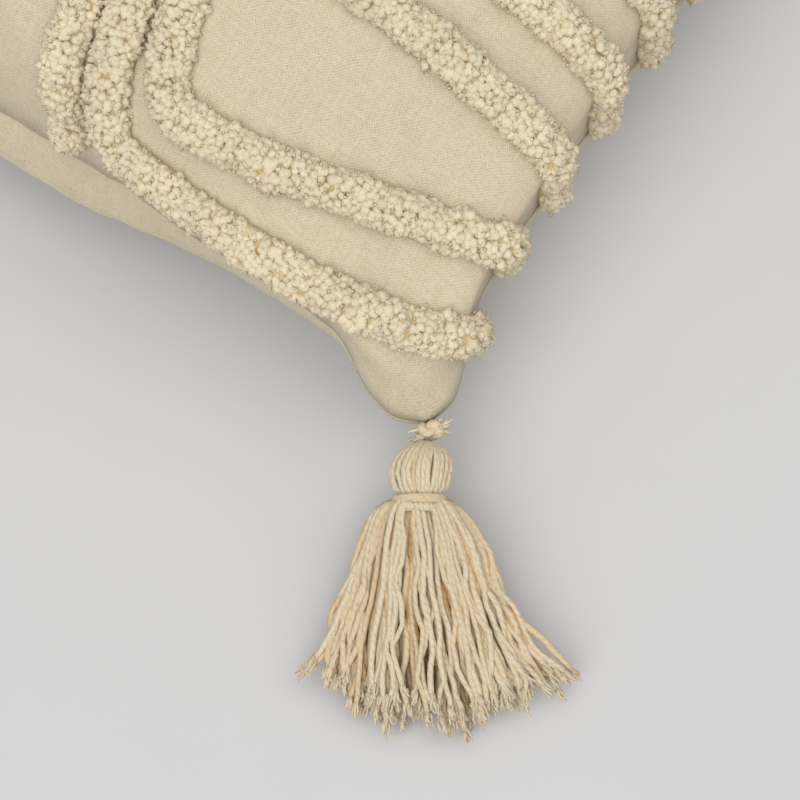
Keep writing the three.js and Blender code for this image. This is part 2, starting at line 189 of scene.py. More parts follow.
def cottonCanvas():
    # Unbleached cotton canvas, plain woven: matt and warm, a fine dotted grain where threads
    # cross over and under, with thicker and thinner threads running through it
    pitch = 0.52 * mm    # one thread; the real one is nearer 0.4 mm, drawn this coarse to show
    material, tree, shader = startMaterial("cotton_canvas")
    flat = coordinates(tree, "UV")
    sway = addNode(tree, "ShaderNodeTexNoise", {}, {"Vector": flat, "Scale": 150, "Detail": 2}).outputs["Color"]
    shift = addNode(tree, "ShaderNodeVectorMath", {"operation": "MULTIPLY_ADD"},
                    {0: sway, 1: [1.6 * mm] * 3, 2: flat}).outputs[0]
    threads = toned(tree, shift, 1 / pitch)
    waves = [compute(tree, "SINE", compute(tree, "MULTIPLY", split(tree, threads)[axis], math.pi))
             for axis in ("X", "Y")]
    cross = compute(tree, "MULTIPLY", *waves)
    # each crossing stands a little higher or lower than its neighbours
    crossing = addNode(tree, "ShaderNodeVectorMath", {"operation": "FLOOR"}, {0: threads}).outputs[0]
    uneven = addNode(tree, "ShaderNodeTexWhiteNoise", {"noise_dimensions": "2D"}, {"Vector": crossing}).outputs[0]
    # thick and thin places run along the threads
    slubs = [cloud(tree, stretched(tree, flat, scale), 1, 1) for scale in ([90, 1300, 1], [1300, 90, 1])]
    height = compute(tree, "MULTIPLY_ADD", cross, 0.34, -0.1)
    height = compute(tree, "MULTIPLY_ADD", uneven, 0.3, height)
    height = compute(tree, "MULTIPLY_ADD", compute(tree, "ADD", *slubs), 0.45, height)
    # the colour follows this height: darker where the weave lies low, painted shade in the hollows between threads
    color = rampColor(tree, height, [(0.1, "b8aa8b"), (0.5, "cabda2"), (0.9, "d4c9b4")])
    patches = between(tree, cloud(tree, flat, 26, 3), 0.93, 1.05)
    finishMaterial(tree, shader, toned(tree, color, patches),
                   {"Roughness": 0.92, "Sheen Weight": 0.12, "Sheen Roughness": 0.6}, height, 0.14 * mm, 0.9)
    return material


def tuftedYarn():
    # Cut cotton pile: soft matt ends that bloom, cream at the tips, and painted shade makes it warmer and darker
    # down between them
    material, tree, shader = startMaterial("tufted_yarn")
    fibres = cloud(tree, coordinates(tree, "Object"), 1 / (0.8 * mm), 4, Roughness=0.75)
    # depth runs from 0 at an end's root to 1 at its tip; the ramp's warm brown low stops are painted shade between
    # the ends
    level = compute(tree, "ADD", attribute(tree, "depth"), compute(tree, "MULTIPLY_ADD", fibres, 0.5, -0.25))
    color = rampColor(tree, level, [(0.0, "cb9c62"), (0.34, "e1c896"), (0.8, "e7dabd")])
    finishMaterial(tree, shader, toned(tree, color, between(tree, attribute(tree, "shade"), 0.9, 1.05)),
                   {"Roughness": 0.95, "Specular IOR Level": 0.2, "Sheen Weight": 0.2, "Sheen Roughness": 0.5},
                   fibres, 0.6 * mm, 0.8)
    return material


def pliedYarn():
    # Two-ply cotton yarn: soft and fibrous, a faint slanting groove between its strands, with painted shade
    # making it darker in that groove and warmer and darker where it lies deep inside the tassel
    layLength = 5.2 * mm    # one whole turn of a ply
    material, tree, shader = startMaterial("tassel_yarn")
    yarn = coordinates(tree, "UV")
    phase = compute(tree, "ADD", split(tree, yarn)["X"], compute(tree, "DIVIDE", split(tree, yarn)["Y"], layLength))
    ply = compute(tree, "ABSOLUTE", compute(tree, "SINE", compute(tree, "MULTIPLY", phase, 2 * math.pi)))
    fuzz = cloud(tree, coordinates(tree, "Object"), 1 / (0.7 * mm), 3)
    streaks = cloud(tree, stretched(tree, yarn, [5, 320, 1]), 1, 2)
    height = compute(tree, "MULTIPLY_ADD", ply, 0.35, compute(tree, "MULTIPLY_ADD", streaks, 0.6, fuzz))
    # the colour follows this height: darker in the groove between the plies, painted shade, and varied by the
    # fibres' own fuzz and streaks
    color = rampColor(tree, height, [(0.45, "b9a17b"), (0.85, "ccbb9c"), (1.0, "d4c7ae")])
    # a low shade value gives a warmer, darker tint: painted shade and warm bounce for yarn deep inside the tassel
    deepShadeTint = rampColor(tree, attribute(tree, "shade"), [(0.0, "f2d6ae"), (0.45, "faf0e2"), (1.0, "ffffff")])
    color = addNode(tree, "ShaderNodeVectorMath", {"operation": "MULTIPLY"}, {0: color, 1: deepShadeTint}).outputs[0]
    finishMaterial(tree, shader, color, {"Roughness": 0.85, "Specular IOR Level": 0.3, "Sheen Weight": 0.15},
                   height, 0.2 * mm, 0.7)
    return material


def wovenTape():
    # Zipper tape of woven polyester: tight fine herringbone, a little smoother than the canvas
    rib = 0.9 * mm
    material, tree, shader = startMaterial("zipper_tape")
    axes = split(tree, coordinates(tree, "Object"))
    slant = compute(tree, "ADD", axes["X"], compute(tree, "PINGPONG", axes["Z"], 1.2 * mm))
    wave = compute(tree, "SINE", compute(tree, "MULTIPLY", slant, 2 * math.pi / rib))
    # the colour follows the rib's wave, darker in its troughs: painted shade
    finishMaterial(tree, shader, rampColor(tree, wave, [(0.0, "c9bb9f"), (1.0, "e2d7c0")]),
                   {"Roughness": 0.7}, wave, 0.08 * mm, 0.7)
    return material


def nylonCoil():
    # Nylon monofilament: smooth and pale, with a soft highlight on each tooth
    material, tree, shader = startMaterial("nylon_coil")
    mottle = cloud(tree, coordinates(tree, "Object"), 1 / (6 * mm))
    finishMaterial(tree, shader, rampColor(tree, mottle, [(0.3, "d2c4a6"), (0.7, "e4d8be")]),
                   {"IOR": 1.53, "Roughness": 0.35})
    return material


def enamelledZinc():
    # Die-cast zinc under cream stoved enamel: a smooth thick skin with a clear highlight, and a
    # faint orange-peel waviness
    material, tree, shader = startMaterial("enamelled_zinc")
    place = coordinates(tree, "Object")
    mottle = cloud(tree, place, 1 / (8 * mm))
    finishMaterial(tree, shader, rampColor(tree, mottle, [(0.3, "d8c8a6"), (0.7, "e0d2b3")]),
                   {"Roughness": 0.28, "Coat Weight": 0.4}, cloud(tree, place, 1 / (1.2 * mm)), 0.05 * mm, 0.5)
    return material


def castStop():
    # Pressed zinc stop, bare and tumbled: dull grey metal with small dark pits
    material, tree, shader = startMaterial("zipper_stop")
    pits = cloud(tree, coordinates(tree, "Object"), 1 / (0.5 * mm), 3)
    finishMaterial(tree, shader, rampColor(tree, pits, [(0.3, "8f8d88"), (0.6, "b9b6ae")]),
                   {"Metallic": 1, "Roughness": 0.45}, pits, 0.04 * mm, 0.6)
    return material


def insertCasing():
    # Spun-bonded white polyester casing: thin, papery, with small pressed dots
    dot = 1.6 * mm
    material, tree, shader = startMaterial("insert_casing")
    place = coordinates(tree, "Object")
    cells = addNode(tree, "ShaderNodeTexVoronoi", {}, {"Vector": place, "Scale": 1 / dot}).outputs["Distance"]
    fibres = cloud(tree, place, 1 / (0.6 * mm), 4)
    finishMaterial(tree, shader, rampColor(tree, fibres, [(0.3, "dfdedb"), (0.7, "f2f1ee")]),
                   {"Roughness": 0.85}, compute(tree, "MULTIPLY", cells, fibres), 0.1 * mm, 0.6)
    return material


def paleFloor():
    # Pale matt studio board with the faintest mottling
    material, tree, shader = startMaterial("pale_board")
    mottle = cloud(tree, coordinates(tree, "Object"), 9, 4)
    finishMaterial(tree, shader, rampColor(tree, mottle, [(0.3, "c9c9ca"), (0.7, "cccccd")]),
                   {"Roughness": 0.9, "Specular IOR Level": 0.15})
    return material


finish = {
    "canvas": cottonCanvas(),
    "pile": tuftedYarn(),
    "yarn": pliedYarn(),
    "tape": wovenTape(),
    "nylon": nylonCoil(),
    "enamel": enamelledZinc(),
    "stop": castStop(),
    "casing": insertCasing(),
    "floor": paleFloor(),
}
print("materials made:", len(finish))


# The cover's surface. p and q run from -1 to 1 across it, along X and Y.

cover = {
    "side": 432 * mm,            # corner tip to corner tip
    "edgePull": 4 * mm,          # how far the middle of an edge is pulled in
    "lowerPull": 1 * mm,         # the same for the edge away from the zipper
    "zippedEdge": 206 * mm,      # the zipped edge to the centre line
    "straightHalf": 174 * mm,    # half of that edge's straight part
    "crown": 80 * mm,            # front panel's middle above the seam
    "belly": 55 * mm,            # back panel's middle below it
    "fullness": 0.42,            # 0.5 is an ellipse's section; less is fuller
    "backFullness": 0.31,
    "sideBulge": 12 * mm,        # how far the back panel swells out under the lower edge's seam
    "bulgeEnds": [0.38, 0.66],   # where that swelling fades out towards the corners
    "earBulge": 6 * mm,          # how far the cloth rolls out beside a corner tip
    "earRoll": [0.8, 0.93, 0.95, 1.01],    # where that roll starts, is full, and starts and ends fading
    "seamHeight": 50 * mm,
    "earHeight": 27 * mm,        # the corner tips
    "lowerDrop": 6 * mm,         # how much lower the seam runs along that lower edge
    "lips": 0.5 * mm,            # half the gap between the panels at the seam
    "slot": 3.2 * mm,            # half the gap along the zipper
    "seamDepth": 2.4 * mm,       # how deep the seam's groove goes
    "slotDepth": 11 * mm,        # and the zipper's
    "lift": 0.4 * mm,            # lowest cloth above the table
    "cells": 150,                # of the finished mesh, across a panel
    "pucker": 0.9 * mm,          # height of the small folds at the seam
    "puckerReach": 11 * mm,      # and how soon they fade
    "gather": 0.6,               # how much closer together they stand near the seams
}
half = cover["side"] / 2
edgeHalf = half - cover["edgePull"]
zipperY = cover["zippedEdge"]
straightEnd = cover["straightHalf"] / half


def pastZipper(p):
    return np.maximum(0, (np.abs(p) - straightEnd) / (1 - straightEnd))


def besideTip(run):
    start, full, fade, end = cover["earRoll"]
    return cover["earBulge"] * smoothStep(start, full, np.abs(run)) * smoothStep(end, fade, np.abs(run))


def zipperSide(q):
    return np.where(q > 0, smoothStep(0, 1, q), 0)


def coverPlan(p, q, inset=0.0):
    zipped = zipperSide(q)
    pulled = half - np.where(q > 0, cover["edgePull"], cover["lowerPull"]) * (1 - np.abs(p) ** 3)
    straight = zipperY + (half - zipperY) * pastZipper(p) ** 1.5
    rolled = np.where(q > 0, 0, besideTip(p)) * np.abs(q) ** 4
    x = p * (edgeHalf + cover["edgePull"] * np.abs(q) ** 3 - inset + 0.8 * besideTip(q) * np.abs(p) ** 4)
    y = q * (pulled * (1 - zipped) + straight * zipped - inset + rolled)
    return x, y


def seamLevel(p, q):
    zipped = zipperSide(q)
    droop = np.abs(p) ** 4 * (1 - zipped) + pastZipper(p) ** 2 * zipped
    lower = cover["lowerDrop"] * np.where(q < 0, q ** 4, 0) * (1 - p ** 4)
    return cover["seamHeight"] - lower - (cover["seamHeight"] - cover["earHeight"]) * droop * np.abs(q) ** 4


def besideZipper(p, q):
    return np.where(q > 0, np.abs(q) ** 8, 0) * (1 - smoothStep(straightEnd, straightEnd + 0.05, np.abs(p)))


def lipGap(p, q):
    return cover["lips"] + (cover["slot"] - cover["lips"]) * besideZipper(p, q)


def bulge(p, q, fullness=cover["fullness"]):
    return np.maximum(0, (1 - p * p) * (1 - q * q)) ** fullness


def onTable(z):
    # flattens the cloth softly where it would go through the table
    soft = 4 * mm
    return np.maximum(cover["lift"], (z + np.sqrt(z * z + soft * soft)) / 2 - 0.6 * mm)


def coverPoints(p, q, side, inset=0.0):
    # side is 1 for the front panel, -1 for the back one and 0 for the floor of the groove between them
    depth = cover["seamDepth"] + (cover["slotDepth"] - cover["seamDepth"]) * besideZipper(p, q)
    x, y = coverPlan(p, q, inset + np.where(side == 0, depth, 0))
    seam = seamLevel(p, q)
    front = seam + lipGap(p, q) + (cover["crown"] - inset) * bulge(p, q)
    drop = bulge(p, q, cover["backFullness"])
    back = onTable(seam - lipGap(p, q) - (cover["belly"] - inset) * drop) + inset
    # the back panel carries the weight and swells out past the seam, less beside the zipper
    swell = cover["sideBulge"] * np.sin(math.pi * np.minimum(1, drop / 0.8)) * (side < 0)
    fade = 1 - smoothStep(*cover["bulgeEnds"], np.abs(p))
    y = y + swell * q * np.abs(q) ** 7 * np.where(q > 0, 0.45 * (1 - p ** 4), 0.12 * (1 - p ** 4) + 0.88 * fade)
    return np.stack([x, y, np.where(side > 0, front, np.where(side < 0, back, seam))], -1)


# A shell of two square panels joined at their rims, its vertices still holding p, q and side

def panelShell(cells, grooved):
    bm = bmesh.new()
    bmesh.ops.create_grid(bm, x_segments=cells, y_segments=cells, size=1)
    rim = [edge for edge in bm.edges if edge.is_boundary]
    rimVerts = {vert for edge in rim for vert in edge.verts}
    for vert in bm.verts:
        vert.co.z = 1 if grooved or vert not in rimVerts else 0
    backCopy = bmesh.ops.duplicate(bm, geom=bm.verts[:] + bm.edges[:] + bm.faces[:])["geom"]
    for part in backCopy:
        if isinstance(part, bmesh.types.BMVert):
            part.co.z = -part.co.z
    bmesh.ops.reverse_faces(bm, faces=[part for part in backCopy if isinstance(part, bmesh.types.BMFace)])
    if grooved:
        for level in (0, -1):
            skirt = bmesh.ops.extrude_edge_only(bm, edges=rim)["geom"]
            fresh = [part for part in skirt if isinstance(part, bmesh.types.BMVert)]
            rim = [part for part in skirt if isinstance(part, bmesh.types.BMEdge)
                   and all(vert in fresh for vert in part.verts)]
            for vert in fresh:
                vert.co.z = level
    bmesh.ops.remove_doubles(bm, verts=bm.verts[:], dist=1e-5)
    bmesh.ops.recalc_face_normals(bm, faces=bm.faces[:])
    return bm


def places(bm):
    bm.verts.ensure_lookup_table()
    return np.array([vert.co for vert in bm.verts])


# Cloth simulation: the flat-cut panels, sewn at the rim and blown up by the filling, so that
# the spare cloth gathers into the creases that run in from the seams

simulation = {
    "cells": 60,
    "cutSide": 455 * mm,       # the cloth square between its seams, before filling
    "frames": 34,
    "creaseReach": 26,         # smoothing passes that leave only creases
    "creaseGain": 1.4,
    "creaseCap": 5.5 * mm,     # most that a crease may move the surface
    "sagShare": 0.12,          # share of the simulated overall shape that is kept
    "settings": {
        "quality": 7,
        "mass": 0.15,
        "tension_stiffness": 60,
        "compression_stiffness": 60,
        "shear_stiffness": 20,
        "bending_stiffness": 1.2,
        "air_damping": 4,
        "use_pressure": True,
        "uniform_pressure_force": 6.0,
    },
}


def laplacian(values, edges, count, passes):
    total = np.zeros((count, 1))
    np.add.at(total, edges[:, 0], 1)
    np.add.at(total, edges[:, 1], 1)
    for _ in range(passes):
        around = np.zeros_like(values)
        np.add.at(around, edges[:, 0], values[edges[:, 1]])
        np.add.at(around, edges[:, 1], values[edges[:, 0]])
        values = 0.35 * values + 0.65 * around / total
    return values


def simulateCloth():
    # returns how the cloth's creases move the surface, on one grid for each panel
    cells = simulation["cells"]
    blank = np.zeros((2, cells + 1, cells + 1, 3))
    bm = panelShell(cells, grooved=False)
    params = places(bm)
    p, q, side = params.T
    start = coverPoints(p, q, np.where(side >= 0, 1, -1))
    start[side == 0, 2] = seamLevel(p, q)[side == 0]
    moveVertices(bm, start)
    cloth = addPiece("cloth_trial", bm, finish["canvas"])
    edges = np.array([edge.vertices[:] for edge in cloth.data.edges])
    cloth.shape_key_add(name="Basis")
    flatKey = cloth.shape_key_add(name="flat_cut")
    cut = simulation["cutSide"] / 2
    flatCut = np.stack([p * cut, q * cut, np.zeros_like(p)], -1)
    flatKey.data.foreach_set("co", flatCut.ravel())
    modifier = cloth.modifiers.new("Cloth", "CLOTH")
    modifier.settings.rest_shape_key = flatKey
    for name, value in simulation["settings"].items():
        setattr(modifier.settings, name, value)
    modifier.settings.effector_weights.gravity = 0
    modifier.collision_settings.use_collision = False
    modifier.point_cache.frame_start = 1
    modifier.point_cache.frame_end = simulation["frames"]
    for step in range(1, simulation["frames"] + 1):
        scene.frame_set(step)
    settled = cloth.evaluated_get(bpy.context.evaluated_depsgraph_get()).to_mesh()
    result = np.empty(len(settled.vertices) * 3)
    settled.vertices.foreach_get("co", result)
    moved = result.reshape(-1, 3) - start
    bpy.data.objects.remove(cloth)
    scene.frame_set(1)
    overall = laplacian(moved, edges, len(moved), simulation["creaseReach"])
    creases = (moved - overall) * simulation["creaseGain"] + overall * simulation["sagShare"]
    length = np.linalg.norm(creases, axis=1, keepdims=True)
    cap = simulation["creaseCap"]
    creases *= cap * np.tanh(length / cap) / np.maximum(length, 1e-9)
    print("cloth settled: overall move %.1f mm, creases %.2f mm at most" %
          (np.abs(overall).max() / mm, length.max() / mm))
    column = np.rint((p + 1) / 2 * cells).astype(int)
    line = np.rint((q + 1) / 2 * cells).astype(int)
    for index, wanted in enumerate((side >= 0, side <= 0)):
        blank[index, column[wanted], line[wanted]] = creases[wanted]
    return blank


def readGrid(grid, p, q):
    # smooth reading of a square grid between its points
    cells = len(grid) - 1
    total = 0
    u, v = (p + 1) / 2 * cells, (q + 1) / 2 * cells
    i, j = np.minimum(np.floor(u), cells - 1).astype(int), np.minimum(np.floor(v), cells - 1).astype(int)

    def weight(distance):
        d = np.abs(distance)
        return np.where(d < 1, 1.5 * d ** 3 - 2.5 * d ** 2 + 1,
                        np.where(d < 2, -0.5 * d ** 3 + 2.5 * d ** 2 - 4 * d + 2, 0))
    for a in range(-1, 3):
        for b in range(-1, 3):
            share = (weight(u - i - a) * weight(v - j - b))[..., None]
            total = total + share * grid[np.clip(i + a, 0, cells), np.clip(j + b, 0, cells)]
    return total


creaseGrids = simulateCloth()


def clothPoints(p, q, side):
    # the finished surface: the filled shape with the simulated creases in it
    base = coverPoints(p, q, side)
    moved = np.where((side > 0)[:, None], readGrid(creaseGrids[0], p, q), readGrid(creaseGrids[1], p, q))
    calm = np.maximum(besideZipper(p, q), smoothStep(6 * mm, 0, base[:, 2]) * (side < 0))
    corner = smoothStep(0.9, 1, np.abs(p)) * smoothStep(0.9, 1, np.abs(q))
    moved = moved * (1 - np.maximum(calm, corner))[:, None]
    # small puckers where the seam gathers the cloth
    run = np.where(np.abs(p) < np.abs(q), p, q) * half + np.where(np.abs(p) < np.abs(q), 0, 300 * mm)
    near = np.exp(-(1 - np.maximum(np.abs(p), np.abs(q))) * half / cover["puckerReach"]) * (side != 0)
    ripple = np.sin(run / (2.3 * mm) + 2.6 * np.sin(run / (13 * mm))) * np.sin(run / (19 * mm) + side)
    moved[:, 2] += cover["pucker"] * ripple * near * side * (1 - np.maximum(calm, corner))
    points = base + moved
    points[:, 2] = np.maximum(points[:, 2], cover["lift"])
    return points


def clothLengths(gather):
    # lengths along the finished cloth, on a grid: how far each point lies from the panel's middle
    cells = cover["cells"]
    spread = np.linspace(-1, 1, cells + 1)
    spread = spread * (1 - gather) + np.sin(spread * math.pi / 2) * gather
    p, q = (axis.ravel() for axis in np.meshgrid(spread, spread, indexing="ij"))
    grids = []
    for side in (1, -1):
        points = clothPoints(p, q, np.full(len(p), side)).reshape(cells + 1, cells + 1, 3)
        lengths = []
        for axis in (0, 1):
            steps = np.linalg.norm(np.diff(points, axis=axis), axis=2)
            run = np.concatenate([np.zeros_like(steps.take([0], axis)), np.cumsum(steps, axis)], axis)
            lengths.append(run - run.take([cells // 2], axis))
        grids.append(np.stack(lengths, -1))
    return grids


def makeCover():
    bm = panelShell(cover["cells"], grooved=True)
    params = places(bm)
    gather = cover["gather"]
    p, q = (value * (1 - gather) + np.sin(value * math.pi / 2) * gather for value in params.T[:2])
    side = params[:, 2]
    column, line = (np.rint((value + 1) / 2 * cover["cells"]).astype(int) for value in params.T[:2])
    front, back = clothLengths(gather)
    flat = np.where((side < 0)[:, None], back[column, line] + [0, 0.6], front[column, line])
    moveVertices(bm, clothPoints(p, q, side))
    uv = bm.loops.layers.uv.new("flat")
    for face in bm.faces:
        for loop in face.loops:
            loop[uv].uv = flat[loop.vert.index]
    piece = addPiece("cover_cloth", bm, finish["canvas"])
    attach(piece, "cover")
    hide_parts("front_panel", "back_panel", "seam_overlock")
    return piece


coverCloth = makeCover()
print("cover made:", len(coverCloth.data.polygons), "faces")


# Insert: the stuffed casing inside the cover

insert = {
    "inset": 15 * mm,    # its seam to the cover's seam
    "play": 3 * mm,      # clear of the cover's cloth
    "cells": 40,
}


def makeInsert():
    bm = panelShell(insert["cells"], grooved=False)
    params = places(bm)
    p, q = (np.sin(value * math.pi / 2) for value in params.T[:2])
    side = params[:, 2]
    share = 1 - insert["inset"] / half
    x, y = coverPlan(p, q, insert["inset"])
    seam = seamLevel(p * share, q * share)
    rise = np.where(side >= 0, cover["crown"], -cover["belly"]) - np.sign(side) * insert["play"]
    points = np.stack([x, y, np.maximum(seam + rise * bulge(p, q), cover["lift"] + insert["play"])], -1)
    moveVertices(bm, points)
    piece = addPiece("insert_pad", bm, finish["casing"])
    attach(piece, "cover")
    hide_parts("insert_casing_front", "insert_casing_back", "fibre_fill")


makeInsert()


# Tufted rows: each is a mound of cut yarn ends on a line drawn on the flat front panel

rows = {
    "width": 14 * mm,
    "pile": 7 * mm,              # height above the canvas
    "sideGap": -2 * mm,          # row's end to the side seam, below 0 for past it
    "waist": 66.5 * mm,          # middle stem to the centre line, halfway up
    "spread": 32.5 * mm,         # how much further out it is at the seam
    "plainStep": -15.3 * mm,     # plain stem, from the middle stem
    "outerStep": 15.3 * mm,      # inner bracket's stem, from the middle stem
    "plainEnd": 2 * mm,
    "outerArm": [27 * mm, 12 * mm, 9 * mm, 9 * mm],     # from the lower edge, from the side seam inwards
    "innerArm": [53 * mm, 37 * mm, 27 * mm, 23 * mm],
    "bend": 13 * mm,             # where a stem turns into its arm
    "rungStep": 28 * mm,
    "rungs": 11,
    "endStep": 1.9 * mm,         # one yarn end to the next
    "fan": 12,                   # yarn ends side by side across the row
    "fanHalf": 92,               # degrees from the middle one to the outermost
    "endTilts": [0.3, 0.6, 0.9, 1.2, 1.45],    # how the ends lean over at the row's rounded end
    "endRadius": [1.3 * mm, 2.2 * mm],
    "endLength": [4.4 * mm, 6.4 * mm],
    "fibres": 2,                 # loose fibre tips on each yarn end
    "fibreLength": [0.9 * mm, 1.8 * mm],
    "fibreRadius": [0.5 * mm, 0.85 * mm],
    "clump": 7 * mm,             # size of the clumps that the ends lean into
    "lean": 0.5,
}


def stemX(y, step):
    return rows["waist"] + rows["spread"] * (y / half) ** 2 + step


def throughPoints(points, spacing=0.5 * mm):
    # a smooth line through points, as close points at even distances
    points = np.array(points, float)
    ends = np.vstack([2 * points[0] - points[1], points, 2 * points[-1] - points[-2]])
    out = []
    for i in range(1, len(ends) - 2):
        a, b, c, d = ends[i - 1:i + 3]
        t = np.linspace(0, 1, 24, endpoint=False)[:, None]
        out.append(0.5 * (2 * b + (c - a) * t + (2 * a - 5 * b + 4 * c - d) * t ** 2
                          + (3 * b - a - 3 * c + d) * t ** 3))
    return evenly(np.vstack(out + [ends[-2:-1]]), spacing)


def evenly(line, spacing):
    run = runAlong(line)
    count = max(2, int(round(run[-1] / spacing)) + 1)
    return readAlong(np.linspace(0, run[-1], count), run, line)


def stemLine(low, high, step):
    return [(stemX(y, step), y) for y in np.linspace(low, high, 13)]


def bracketLine(step, armHeights):
    sideX = half - rows["sideGap"]
    footY = -(half - armHeights[3])
    cornerX = stemX(footY, step)
    bend = rows["bend"]
    arm = [(cornerX + bend + (sideX - cornerX - bend) * share, -(half - armHeights[i]))
           for i, share in enumerate((1, 2 / 3, 1 / 3))]
    stem = stemLine(footY + bend, -footY - bend, step)
    turn = [(cornerX + bend * (1 - t) ** 2, footY + (stem[0][1] - footY) * t * t) for t in (0, 0.33, 0.67)]
    turn = [(x + (stem[0][0] - cornerX) * t * t, y) for (x, y), t in zip(turn, (0, 0.33, 0.67))]
    lower = arm + turn
    return lower + stem + [(x, -y) for x, y in reversed(lower)]


def rowLines():
    plainY = half - rows["plainEnd"]
    lines = {
        "stem": stemLine(-plainY, plainY, rows["plainStep"]),
        "outer_bracket": bracketLine(0, rows["outerArm"]),
        "inner_bracket": bracketLine(rows["outerStep"], rows["innerArm"]),
    }
    for index in range(rows["rungs"]):
        y = (index - (rows["rungs"] - 1) / 2) * rows["rungStep"]
        lean = abs(2 * rows["spread"] * y / half ** 2)
        reach = rows["width"] / 2 * (math.hypot(1, lean) + lean) * half / edgeHalf
        inner = stemX(y, rows["outerStep"]) + reach + 1.6 * mm
        lines["rung_%d" % (index + 1)] = [(inner, y), (half - rows["sideGap"], y)]
    return lines


def yarnEnds():
    # four shapes of cut yarn end: a soft rounded lump, unit size, its root at the origin
    shapes = []
    for variant in range(4):
        bm = bmesh.new()
        bmesh.ops.create_uvsphere(bm, u_segments=5, v_segments=3, radius=1)
        bmesh.ops.triangulate(bm, faces=bm.faces[:])
        for vert in bm.verts:
            spot = vert.co * 2.1 + Vector((variant * 7.1, 0, 3.3))
            vert.co *= 1 + 0.7 * noise.noise(spot)
            vert.co.z = (vert.co.z + 1) / 2
            vert.co.xy *= 0.72 + 0.4 * vert.co.z
        shapes.append((places(bm), np.array([[v.index for v in face.verts] for face in bm.faces])))
        bm.free()
    return shapes


endShapes = yarnEnds()


def surfaceFrame(line):
    # places on the front panel under a flat line, with the directions along and up
    def on(points):
        p, q = points.T / half
        return clothPoints(np.clip(p, -1, 1), np.clip(q, -1, 1), np.ones(len(points)))
    step = 1.5 * mm
    dx = on(line + [step, 0]) - on(line - [step, 0])
    dy = on(line + [0, step]) - on(line - [0, step])
    up = unit(np.cross(dx, dy))
    spots = on(line)
    along = unit(np.gradient(spots, axis=0))
    return spots, along, np.cross(unit(np.cross(along, up)), along)


